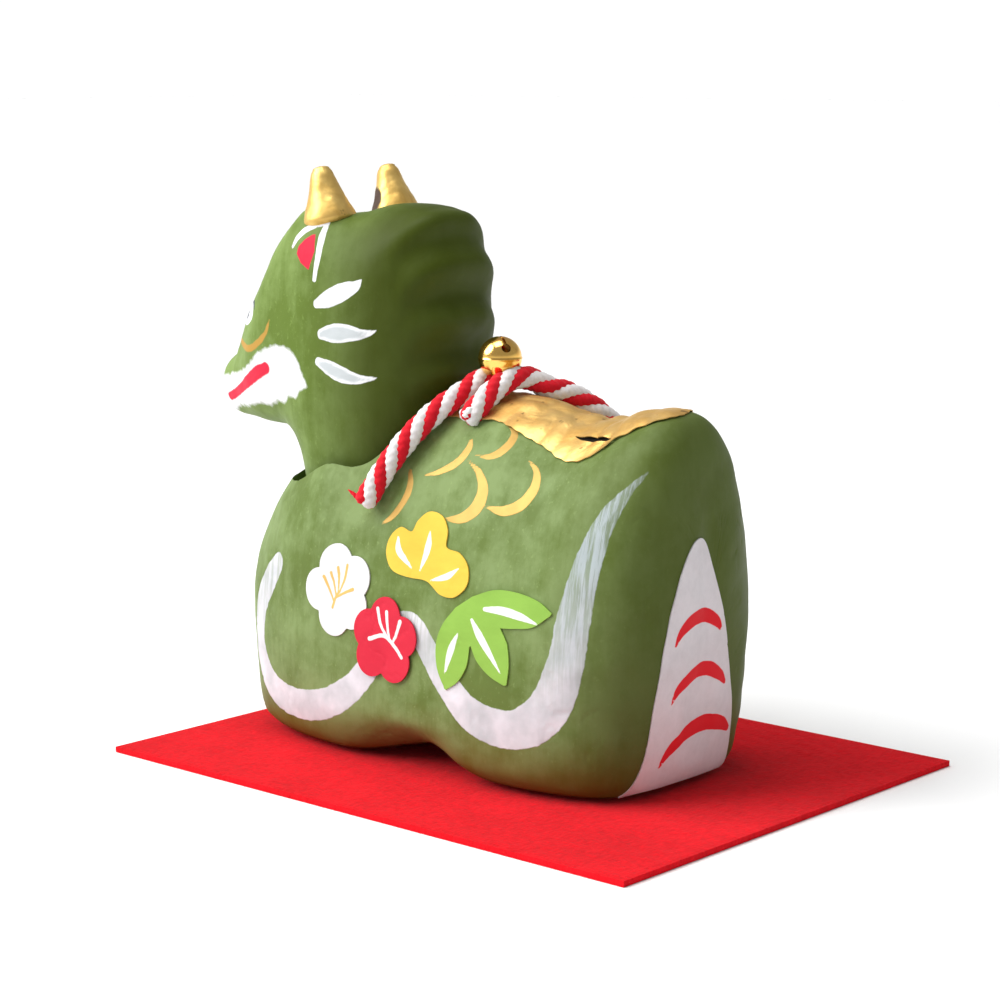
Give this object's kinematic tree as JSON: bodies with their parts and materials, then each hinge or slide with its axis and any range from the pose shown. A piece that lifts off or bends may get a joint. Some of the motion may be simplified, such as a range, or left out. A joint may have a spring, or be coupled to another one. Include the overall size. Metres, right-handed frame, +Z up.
{
  "type": "nodding dragon figurine",
  "caption": "Papier-mache zodiac dragon with a swinging head, gold horns, a bell on a twisted cord and pasted festive motifs, standing on a felt mat.",
  "frame": {"origin": "centre of the mat's underside", "axes": "+Z up out of the mat, the dragon faces -Y, its left side is towards +X"},
  "size_m": [0.078, 0.1131, 0.0885],
  "materials": {
    "red_felt": "dense wool felt, cut edge",
    "green_paper": "painted papier-mache, satin",
    "head_paper": "painted papier-mache, satin",
    "gold_paper": "gold painted paper, slightly wrinkled",
    "gold_paint": "gold painted papier-mache",
    "white_paper": "matt paper",
    "red_paper": "matt paper",
    "yellow_paper": "matt paper",
    "leaf_paper": "matt paper",
    "cord_cotton": "twisted red and white cord",
    "white_thread": "matt thread",
    "bell_brass": "polished plating",
    "pellet_steel": "plain",
    "steel_wire": "drawn wire",
    "stick_wood": "unfinished",
    "slug_iron": "rough"
  },
  "bodies": {
    "mat": {"felt_mat": "red_felt"},
    "dragon": {"body_shell_left": "green_paper", "body_shell_right": "green_paper", "back_strip": "gold_paper", "tail_panel": "white_paper", "plum_white_left": "white_paper", "plum_white_right": "white_paper", "plum_red_left": "red_paper", "plum_red_right": "red_paper", "pine_left": "yellow_paper", "pine_right": "yellow_paper", "bamboo_left": "leaf_paper", "bamboo_right": "leaf_paper", "hanger_wire": "steel_wire", "cord_near": "cord_cotton", "cord_knot": "cord_cotton", "cord_far": "cord_cotton", "tie_thread": "white_thread", "bell_upper": "bell_brass", "bell_lower": "bell_brass", "bell_loop": "bell_brass"},
    "pellet": {"bell_pellet": "pellet_steel"},
    "hanger": {"hanger_link": "steel_wire"},
    "head": {"head_shell_left": "head_paper", "head_shell_right": "head_paper", "horn_left": "gold_paint", "horn_right": "gold_paint", "neck_stick": "stick_wood", "counterweight": "slug_iron"}
  },
  "joints": [
    {"name": "dragon_lift", "type": "slide", "parent": "mat", "child": "dragon", "axis": [0, 0, 1], "range_m": [0, 0.06]},
    {"name": "pellet_rattle", "type": "slide", "parent": "dragon", "child": "pellet", "axis": [0, 0, 1], "range_m": [0, 0.003]},
    {"name": "head_nod", "type": "hinge", "parent": "dragon", "child": "hanger", "pos_m": [0, -0.028, 0.04], "axis": [1, 0, 0], "range_deg": [-3, 8]},
    {"name": "head_sway", "type": "hinge", "parent": "hanger", "child": "head", "pos_m": [0, -0.028, 0.03665], "axis": [0, 1, 0], "range_deg": [-3.5, 3.5]}
  ]
}
